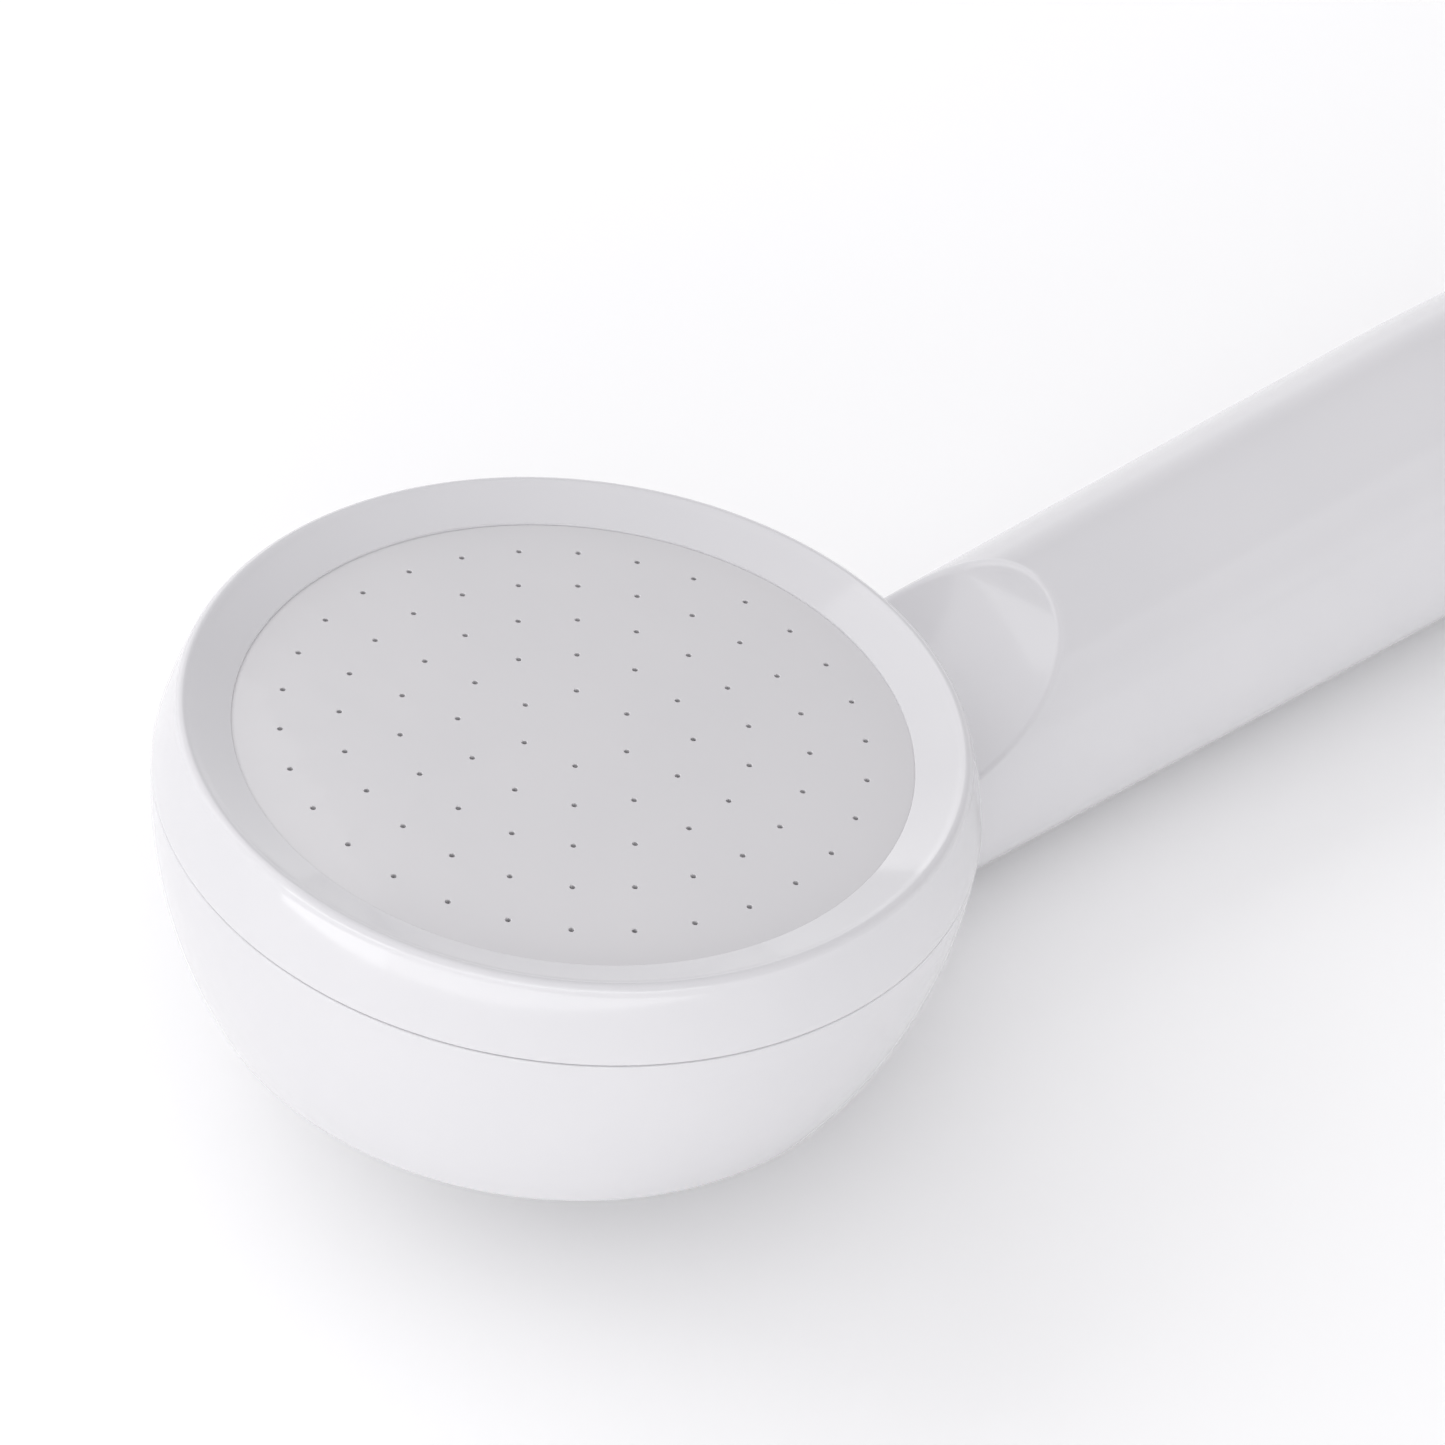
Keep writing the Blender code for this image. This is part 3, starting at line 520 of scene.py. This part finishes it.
lip_z = dome_z(FACE_R) + 0.015
edge_z = PARTING_Z + SEAM_HALF_GAP
shoulder = arc(SHOULDER_CENTRE, SHOULDER_R, 110, 18, 10)
side = ring_side()
crest = soften([(FACE_R, lip_z, 0), (FACE_R + 0.04, lip_z + 0.2, 0.08),
                (CONE_TOP_R, CONE_TOP_Z, 0.3), (*shoulder[0], 0)])
crest += shoulder[1:] + [p for p in side if p.y < shoulder[-1].y - 0.15]
base = soften([(*side[-1], 0), (radius_at(edge_z), edge_z, SEAM_SOFT),
               (SKIRT_R, edge_z, 0.3), (SKIRT_R, SKIRT_BOTTOM_Z, 0.4),
               (SKIRT_BORE_R, SKIRT_BOTTOM_Z, 0.3), (SKIRT_BORE_R, lip_z, 0.2),
               (FACE_R + 0.2, lip_z, 0)])
ring = spun(crest[:-1] + base, BOWL_STEPS, closed=True)
print("ring", len(ring.verts), "points")

# %% Helical threads
def helix(shape, root_r, crest_r, start_z, pitch, turns, width, steps=72):
    """Adds a thread ridge to a shape: a spin that climbs, faded at both ends."""
    half = width / 2
    section = [(root_r - 0.3, -half * 1.3), (root_r, -half * 1.2),
               (crest_r, -half * 0.5), (crest_r, half * 0.5),
               (root_r, half * 1.2), (root_r - 0.3, half * 1.3)]
    verts = [shape.verts.new((r, 0.0, start_z + z)) for r, z in section]
    face = shape.faces.new(verts)
    count = round(turns * steps)
    before = set(shape.verts)
    bmesh.ops.spin(shape, geom=[face, *face.edges, *face.verts], cent=(0, 0, 0),
                   axis=(0, 0, 1), dvec=(0, 0, pitch * turns / count),
                   angle=2 * math.pi * turns, steps=count, use_merge=False,
                   use_normal_flip=False, use_duplicate=False)
    ridge = verts + [v for v in shape.verts if v not in before]
    for vert in ridge:
        ground = math.atan2(vert.co.y, vert.co.x) / (2 * math.pi) % 1.0
        turn = round((vert.co.z - start_z) / pitch - ground) + ground
        fade = min(1.0, max(0.0, min(turn, turns - turn) * 10))
        radius = vert.co.xy.length
        if radius > root_r:
            shrunk = root_r - 0.1 + (radius - root_r + 0.1) * fade
            vert.co.xy = vert.co.xy * (shrunk / radius)
    skin = {f for v in ridge for f in v.link_faces}
    bmesh.ops.recalc_face_normals(shape, faces=list(skin))


RING_PITCH = 3.0                # the lift of the ring in one turn
helix(ring, SKIRT_R, SKIRT_R + 0.2, SKIRT_BOTTOM_Z + 0.9, RING_PITCH, 0.95, 0.9, steps=120)
face_ring = finish_piece("face_ring_moulding", ring, HEAD, "ring",
                         "white_gloss_plastic", "face_ring")

# %% [markdown]
# ## The spray plate
# The plate is a flat disc pressed into a very wide dome, with five rings of micro
# holes. Each band of the plate is drawn as closed loops, an outer circle, an inner
# circle and a small circle for every hole, and filled. Then the hole edges are
# extruded: first a tiny countersink, then the bore. Last, every point is dropped
# onto the dome. This leaves real holes and a surface that reflects smoothly.

# %% Bands of holes
HOLE_PITCH, HOLE_RINGS, HOLE_TURN_DEG = 5.21, 5, 52.0
HOLE_R, COUNTERSINK = 0.25, 0.05
HOLE_SIDES = 12
PLATE_R, PLATE_THICK = 31.5, 1.2
BAND_STEPS = 120
RIM_BEVEL = 0.15


def loop(shape, centre, radius, sides):
    """Adds one closed circle of edges."""
    made = bmesh.ops.create_circle(
        shape, cap_ends=False, segments=sides, radius=radius,
        matrix=Matrix.Translation((centre[0], centre[1], 0.0)))
    return list({e for v in made["verts"] for e in v.link_edges}), made["verts"]


plate = bmesh.new()
hole_centres = []
bands = [0.0] + [HOLE_PITCH * (k + 0.5) for k in range(HOLE_RINGS)]
bands += [(bands[-1] + PLATE_R) / 2, PLATE_R - RIM_BEVEL]
for number, (inside, outside) in enumerate(zip(bands, bands[1:])):
    edges, _ = loop(plate, (0, 0), outside, BAND_STEPS)
    if inside:
        edges += loop(plate, (0, 0), inside, BAND_STEPS)[0]
    if 1 <= number <= HOLE_RINGS:
        for k in range(6 * number):
            turn = math.radians(HOLE_TURN_DEG + 60 * k / number)
            centre = Vector((math.cos(turn), math.sin(turn))) * HOLE_PITCH * number
            hole_centres.append(centre)
            edges += loop(plate, centre, HOLE_R + COUNTERSINK, HOLE_SIDES)[0]
    bmesh.ops.triangle_fill(plate, use_beauty=True, use_dissolve=False, edges=edges,
                            normal=(0, 0, 1))
bmesh.ops.remove_doubles(plate, verts=plate.verts, dist=0.002)
for face in plate.faces:
    if face.normal.z < 0:
        face.normal_flip()
print(len(hole_centres), "holes in", len(plate.faces), "faces")

# %% Countersinks, bores and the dome
round_holes = {vert for vert in plate.verts for centre in hole_centres
               if (vert.co.xy - centre).length < HOLE_R * 2}


def extrude_down(edges, drop, radius=None):
    """Extrudes edges downwards, and draws hole edges to a new radius."""
    made = bmesh.ops.extrude_edge_only(plate, edges=edges)["geom"]
    verts = [g for g in made if isinstance(g, bmesh.types.BMVert)]
    for vert in verts:
        vert.co.z -= drop
        if radius:
            centre = min(hole_centres, key=lambda c: (c - vert.co.xy).length_squared)
            out = vert.co.xy - centre
            vert.co.xy = centre + out * (radius / out.length)
    return [g for g in made if isinstance(g, bmesh.types.BMEdge) and g.is_boundary]


open_edges = [e for e in plate.edges if e.is_boundary]
hole_edges = [e for e in open_edges if all(v in round_holes for v in e.verts)]
rim_edges = [e for e in open_edges if e not in set(hole_edges)]
bores = extrude_down(hole_edges, COUNTERSINK, HOLE_R)
extrude_down(bores, PLATE_THICK - COUNTERSINK)
rim_made = bmesh.ops.extrude_edge_only(plate, edges=rim_edges)["geom"]
for vert in (g for g in rim_made if isinstance(g, bmesh.types.BMVert)):
    vert.co.z -= RIM_BEVEL
    vert.co.xy *= PLATE_R / vert.co.xy.length
rim_low = [g for g in rim_made if isinstance(g, bmesh.types.BMEdge) and g.is_boundary]
extrude_down(rim_low, PLATE_THICK - RIM_BEVEL)
for vert in plate.verts:
    vert.co.z += dome_z(vert.co.xy.length)
print("plate", len(plate.verts), "points")

# %% Plate object
spray_plate = finish_piece("spray_plate_domed", plate, HEAD, "face",
                           "white_gloss_plastic", "spray_plate", sharp_deg=35)

# %% [markdown]
# ## Collar and hose connector
# The handle ends in a rounded collar and a chromed brass connector with a standard pipe
# thread for the hose's nut. The thread is one ridge that climbs 1.814 mm a turn,
# on a plain core.

# %% Collar
COLLAR_R, COLLAR_BORE_R = 12.2, 10.6
collar = flat_ring(COLLAR_BORE_R, COLLAR_R, COLLAR_START, COLLAR_END, 0.15, 0.9, 128)
end_collar = finish_piece("end_collar_trim", collar, HANDLE, "handset",
                          "white_gloss_plastic", "end_collar")

# %% Connector
THREAD_R, THREAD_PITCH, THREAD_DEPTH = 10.48, 1.814, 1.16
FLANGE_R, FLANGE_START, FLANGE_END = 11.6, 175.1, 176.4
CONNECTOR_START, THREAD_START, CONNECTOR_END = 148.0, 177.6, 188.484
SOCKET_R, WEB_R, SEAT_R, SEAT_DEPTH = 7.6, 4.4, 8.4, 2.8
CORE_R, NOSE_R = THREAD_R - THREAD_DEPTH, THREAD_R - 0.9
NOSE_FOOT, NOSE_START = CONNECTOR_END - 1.0, CONNECTOR_END - 0.75
WEB_START, WEB_END = 158.0, 159.2
INSERT_R = 10.3
core = soften([
    (WEB_R, WEB_START, 0.2), (SOCKET_R, WEB_START, 0), (SOCKET_R, CONNECTOR_START, 0.3),
    (INSERT_R, CONNECTOR_START, 0.3), (INSERT_R, FLANGE_START, 0),
    (FLANGE_R, FLANGE_START, 0.25), (FLANGE_R, FLANGE_END, 0.35),
    (CORE_R, FLANGE_END, 0.2), (CORE_R, NOSE_FOOT, 0.1),
    (NOSE_R, NOSE_START, 0.1), (NOSE_R, CONNECTOR_END, 0.2),
    (SEAT_R, CONNECTOR_END, 0.2), (SEAT_R, CONNECTOR_END - SEAT_DEPTH, 0.1),
    (SOCKET_R, CONNECTOR_END - SEAT_DEPTH, 0.2), (SOCKET_R, WEB_END, 0),
    (WEB_R, WEB_END, 0.2)])
connector = spun(core, 128, closed=True)
turns = (CONNECTOR_END - THREAD_START - 1.6) / THREAD_PITCH
helix(connector, CORE_R, THREAD_R, THREAD_START + 0.3, THREAD_PITCH, turns, 1.05, steps=96)
hose_connector = finish_piece("hose_connector_threaded", connector, HANDLE, "handset",
                              "chrome", "hose_connector")

# %% [markdown]
# ## Sealing washer and sieve
# In the connector's mouth sit a soft washer and a fine sieve that keeps grit out of
# the holes. The sieve is a flat grid turned into woven-looking wires by the
# wireframe operator, and held in a thin pressed rim.

# %% Washer
WASHER_BORE_R, WASHER_R = 5.5, 8.1
WASHER_THICK, WASHER_END = 1.4, CONNECTOR_END - 0.3
washer = flat_ring(WASHER_BORE_R, WASHER_R, WASHER_END - WASHER_THICK, WASHER_END,
                   0.3, 0.3, 96)
strainer_washer = finish_piece("strainer_washer_soft", washer, HANDLE, "handset",
                               "black_rubber", "strainer_washer")

# %% Sieve
SIEVE_R, SIEVE_AT = 8.1, CONNECTOR_END - 2.25
RIM_BORE_R, RIM_HALF_THICK = 6.6, 0.2
WIRE_THICK = 0.16
sieve = bmesh.new()
bmesh.ops.create_grid(sieve, x_segments=24, y_segments=24, size=SIEVE_R,
                      matrix=Matrix.Translation((0, 0, SIEVE_AT)))
far = [f for f in sieve.faces if f.calc_center_median().xy.length > SIEVE_R - 0.7]
bmesh.ops.delete(sieve, geom=far, context="FACES")
bmesh.ops.wireframe(sieve, faces=sieve.faces, thickness=WIRE_THICK, use_replace=True,
                    use_boundary=True, use_even_offset=True)
take_in(sieve, flat_ring(RIM_BORE_R, SIEVE_R, SIEVE_AT - RIM_HALF_THICK,
                         SIEVE_AT + RIM_HALF_THICK, 0.05, 0.1, 64))
strainer_mesh = finish_piece("strainer_mesh_woven", sieve, HANDLE, "handset",
                             "stainless_steel", "strainer_mesh")

# %% [markdown]
# ## Materials
# Moulded plastic is never one flat value. Gloss ABS has a clear, hard skin with a
# faint ripple from the flow of the melt, hair-fine wiping marks that break up its
# gloss, and a slightly uneven white. All of it is made with noise on the object's
# own coordinates, so it stays put when the part moves.

# %% Node helpers
def new_material(name):
    """An empty Principled material and its node tree."""
    made = bpy.data.materials.new(name)
    made.use_nodes = True
    return made, made.node_tree


def noise(tree, scale, detail=3.0, stretch=(1.0, 1.0, 1.0)):
    """Noise on object coordinates, in cycles a metre."""
    coords = tree.nodes.new("ShaderNodeTexCoord")
    mapping = tree.nodes.new("ShaderNodeMapping")
    mapping.inputs["Scale"].default_value = stretch
    texture = tree.nodes.new("ShaderNodeTexNoise")
    texture.inputs["Scale"].default_value = scale
    texture.inputs["Detail"].default_value = detail
    tree.links.new(coords.outputs["Object"], mapping.inputs["Vector"])
    tree.links.new(mapping.outputs["Vector"], texture.inputs["Vector"])
    return texture.outputs["Fac"]


def ranged(tree, value, low, high, from_low=0.3, from_high=0.7):
    """Maps a noise value to a range."""
    node = tree.nodes.new("ShaderNodeMapRange")
    node.inputs["From Min"].default_value = from_low
    node.inputs["From Max"].default_value = from_high
    node.inputs["To Min"].default_value = low
    node.inputs["To Max"].default_value = high
    tree.links.new(value, node.inputs["Value"])
    return node.outputs["Result"]


def blended(tree, value, first, second):
    """A colour between two, by a value."""
    ramp = tree.nodes.new("ShaderNodeValToRGB")
    ramp.color_ramp.elements[0].position = 0.3
    ramp.color_ramp.elements[0].color = (*first, 1.0)
    ramp.color_ramp.elements[1].position = 0.7
    ramp.color_ramp.elements[1].color = (*second, 1.0)
    tree.links.new(value, ramp.inputs["Fac"])
    return ramp.outputs["Color"]


def bumped(tree, shader, value, strength, distance):
    """Adds a bump below any bump that the shader already has."""
    node = tree.nodes.new("ShaderNodeBump")
    node.inputs["Strength"].default_value = strength
    node.inputs["Distance"].default_value = distance
    tree.links.new(value, node.inputs["Height"])
    earlier = shader.inputs["Normal"].links
    if earlier:
        tree.links.new(earlier[0].from_socket, node.inputs["Normal"])
    tree.links.new(node.outputs["Normal"], shader.inputs["Normal"])


print("node helpers ready")

# %% Gloss white plastic
def gloss_white(name, pale, shade, roughness):
    """White ABS with melt ripple and faint wiping marks."""
    made, tree = new_material(name)
    shader = tree.nodes["Principled BSDF"]
    colour = blended(tree, noise(tree, 60.0), pale, shade)
    tree.links.new(colour, shader.inputs["Base Color"])
    marks = noise(tree, 900.0, 4.0, (1.0, 0.12, 1.0))
    rough = ranged(tree, marks, roughness * 0.8, roughness * 1.25)
    tree.links.new(rough, shader.inputs["Roughness"])
    shader.inputs["IOR"].default_value = 1.5
    shader.inputs["Coat Weight"].default_value = 0.25
    shader.inputs["Coat Roughness"].default_value = 0.03
    bumped(tree, shader, noise(tree, 110.0, 2.0), 0.10, 0.0002)
    bumped(tree, shader, noise(tree, 2500.0, 2.0), 0.03, 0.00002)
    return made


SHELL_WHITE = gloss_white("shell_white_abs", (0.624, 0.618, 0.636), (0.607, 0.603, 0.622), 0.11)
# The plate is the shell's white ABS again, painted a little lighter: painted light, so that the up-facing face
# reads brighter beside the bevel.
PLATE_WHITE_PAINTED_LIGHT = gloss_white("plate_white_abs_painted_light", (0.645, 0.636, 0.650), (0.631, 0.624, 0.639), 0.18)

# %% Other materials
def matte_natural(name):
    """Unpigmented acetal: a little waxy, finely grained."""
    made, tree = new_material(name)
    shader = tree.nodes["Principled BSDF"]
    tree.links.new(blended(tree, noise(tree, 90.0), (0.74, 0.73, 0.68), (0.68, 0.67, 0.61)),
                   shader.inputs["Base Color"])
    tree.links.new(ranged(tree, noise(tree, 700.0), 0.38, 0.55), shader.inputs["Roughness"])
    shader.inputs["Subsurface Weight"].default_value = 0.1
    shader.inputs["Subsurface Scale"].default_value = 0.002
    bumped(tree, shader, noise(tree, 1500.0), 0.08, 0.00005)
    return made


def soft_rubber(name):
    """Black nitrile rubber with a dusty bloom."""
    made, tree = new_material(name)
    shader = tree.nodes["Principled BSDF"]
    tree.links.new(blended(tree, noise(tree, 350.0), (0.018, 0.018, 0.02), (0.045, 0.045, 0.047)),
                   shader.inputs["Base Color"])
    tree.links.new(ranged(tree, noise(tree, 1200.0), 0.55, 0.8), shader.inputs["Roughness"])
    bumped(tree, shader, noise(tree, 2200.0), 0.15, 0.00005)
    return made


def bright_metal(name, pale, shade, roughness, stretch):
    """Plated or drawn metal with fine polishing lines."""
    made, tree = new_material(name)
    shader = tree.nodes["Principled BSDF"]
    shader.inputs["Metallic"].default_value = 1.0
    tree.links.new(blended(tree, noise(tree, 120.0), pale, shade), shader.inputs["Base Color"])
    lines = noise(tree, 1800.0, 3.0, stretch)
    tree.links.new(ranged(tree, lines, roughness * 0.7, roughness * 1.6),
                   shader.inputs["Roughness"])
    bumped(tree, shader, lines, 0.04, 0.00002)
    return made


NATURAL = matte_natural("natural_acetal")
RUBBER = soft_rubber("nitrile_rubber")
CHROME = bright_metal("chrome_plate", (0.78, 0.79, 0.80), (0.72, 0.73, 0.75), 0.08, (1, 1, 1))
STEEL = bright_metal("stainless_wire", (0.60, 0.60, 0.60), (0.52, 0.52, 0.53), 0.25, (0.1, 1, 1))
FINISHES = {"white_gloss_plastic": SHELL_WHITE, "natural_matte_plastic": NATURAL,
            "black_rubber": RUBBER, "chrome": CHROME, "stainless_steel": STEEL}

# %% Dressing every piece
for piece in (shell, face_ring, end_collar):
    piece.data.materials.append(SHELL_WHITE)
spray_plate.data.materials.append(PLATE_WHITE_PAINTED_LIGHT)
hose_connector.data.materials.append(CHROME)
strainer_washer.data.materials.append(RUBBER)
strainer_mesh.data.materials.append(STEEL)
slots = {s["node"]: s["material_slot"] for s in frame["record"]["subparts"]}
for node, thing in frame["nodes"].items():
    thing.data.materials.clear()
    thing.data.materials.append(FINISHES[slots[node]])
print(len(frame["nodes"]), "CAD nodes dressed")

# %% [markdown]
# ## Floor, light and camera
# White plastic on a white table is lit by the room as much as by lamps. The sky
# here is a gradient, bright near the horizon and dimmer overhead, and the table is
# white, so that sides facing down and forward glow while the face stays grey.

# %% Floor
FLOOR_HALF = 3.0
floor_shape = bmesh.new()
bmesh.ops.create_grid(floor_shape, x_segments=1, y_segments=1, size=FLOOR_HALF)
floor_mesh = bpy.data.meshes.new("floor")
floor_shape.to_mesh(floor_mesh)
floor_shape.free()
floor = bpy.data.objects.new("floor", floor_mesh)
bpy.context.scene.collection.objects.link(floor)
floor_paint, floor_tree = new_material("floor_pale")
floor_shader = floor_tree.nodes["Principled BSDF"]
floor_shader.inputs["Base Color"].default_value = (0.96, 0.96, 0.962, 1.0)
floor_shader.inputs["Roughness"].default_value = 0.9
floor_mesh.materials.append(floor_paint)
print("floor", 2 * FLOOR_HALF, "m square")

# %% Sky
world = bpy.data.worlds.new("studio")
bpy.context.scene.world = world
world.use_nodes = True
sky = world.node_tree
backdrop = sky.nodes["Background"]
coords = sky.nodes.new("ShaderNodeTexCoord")
split = sky.nodes.new("ShaderNodeSeparateXYZ")
ramp = sky.nodes.new("ShaderNodeValToRGB")
sky.links.new(coords.outputs["Generated"], split.inputs["Vector"])
sky.links.new(split.outputs["Z"], ramp.inputs["Fac"])
sky.links.new(ramp.outputs["Color"], backdrop.inputs["Color"])
HORIZON, MIDDLE, ZENITH = (1.0, 1.0, 1.01), (0.272, 0.27, 0.276), (0.86, 0.85, 0.87)
MIDDLE_AT, SKY_STRENGTH = 0.48, 1.21
ramp.color_ramp.elements[0].position = 0.0
ramp.color_ramp.elements[0].color = (*HORIZON, 1.0)
ramp.color_ramp.elements[1].position = 1.0
ramp.color_ramp.elements[1].color = (*ZENITH, 1.0)
middle = ramp.color_ramp.elements.new(MIDDLE_AT)
middle.color = (*MIDDLE, 1.0)
backdrop.inputs["Strength"].default_value = SKY_STRENGTH
print("sky strength", SKY_STRENGTH)

# %% Camera
# The camera looks down on the face from in front and a little to one side. Its
# place is given round the head's axis, with the handle's direction as zero.
LOOK_AT = Vector((11.66, -6.18, 0.0))       # on the face's plane, in millimetres
CAMERA_AWAY, CAMERA_TURN_DEG, CAMERA_UP_DEG = 574.2, -133.88, 39.03
CAMERA_ROLL_DEG, LENS = -8.76, 161.73


def direction(turn_deg, up_deg):
    """A unit vector from an azimuth and an elevation."""
    turn, up = math.radians(turn_deg), math.radians(up_deg)
    return Vector((math.cos(up) * math.cos(turn), math.cos(up) * math.sin(turn),
                   math.sin(up)))


target = HEAD @ LOOK_AT
eye = HEAD @ (LOOK_AT + direction(CAMERA_TURN_DEG, CAMERA_UP_DEG) * CAMERA_AWAY)
ahead = (target - eye).normalized()
head_up = HEAD.col[2].xyz.normalized()
above = (head_up - ahead * head_up.dot(ahead)).normalized()
above = Matrix.Rotation(math.radians(CAMERA_ROLL_DEG), 3, ahead) @ above
camera_data = bpy.data.cameras.new("camera")
camera_data.lens = LENS
camera_data.clip_start, camera_data.clip_end = 0.01, 50.0
camera = bpy.data.objects.new("camera", camera_data)
turned = Matrix((ahead.cross(above), above, -ahead)).transposed().to_4x4()
camera.matrix_world = Matrix.Translation(eye) @ turned
bpy.context.scene.collection.objects.link(camera)
bpy.context.scene.camera = camera
print("camera at", [round(c, 3) for c in eye])

# %% Lamps
def softbox(name, turn_deg, up_deg, width, height, power):
    """A rectangular area light aimed at the head."""
    lamp_data = bpy.data.lights.new(name, "AREA")
    lamp_data.shape = "RECTANGLE"
    lamp_data.size, lamp_data.size_y = width, height
    lamp_data.energy = power
    lamp = bpy.data.objects.new(name, lamp_data)
    way = direction(turn_deg, up_deg)
    lamp.matrix_world = (Matrix.Translation(target + way * LAMP_AWAY)
                         @ way.to_track_quat("Z", "Y").to_matrix().to_4x4())
    bpy.context.scene.collection.objects.link(lamp)


CAMERA_SIDE = -129.4            # azimuth on the camera's side, from which lamps are set
LAMP_AWAY = 1.4                 # metres
for name, round_by, up, power, wide, tall in (
        ("key_behind_left", 225, 33, 8.7, 1.8, 1.4), ("left", 270, 30, 2.0, 1.0, 0.8),
        ("right", 90, 30, 1.2, 1.0, 0.8), ("front", 0, 30, 2.2, 1.0, 0.8),
        ("low_front", 0, 10, 8.6, 2.4, 0.8), ("window", 303, 7, 3.4, 0.8, 0.6)):
    softbox(name, CAMERA_SIDE + round_by, up, wide, tall, power)
bpy.context.scene.view_settings.view_transform = "Standard"
print("six softboxes")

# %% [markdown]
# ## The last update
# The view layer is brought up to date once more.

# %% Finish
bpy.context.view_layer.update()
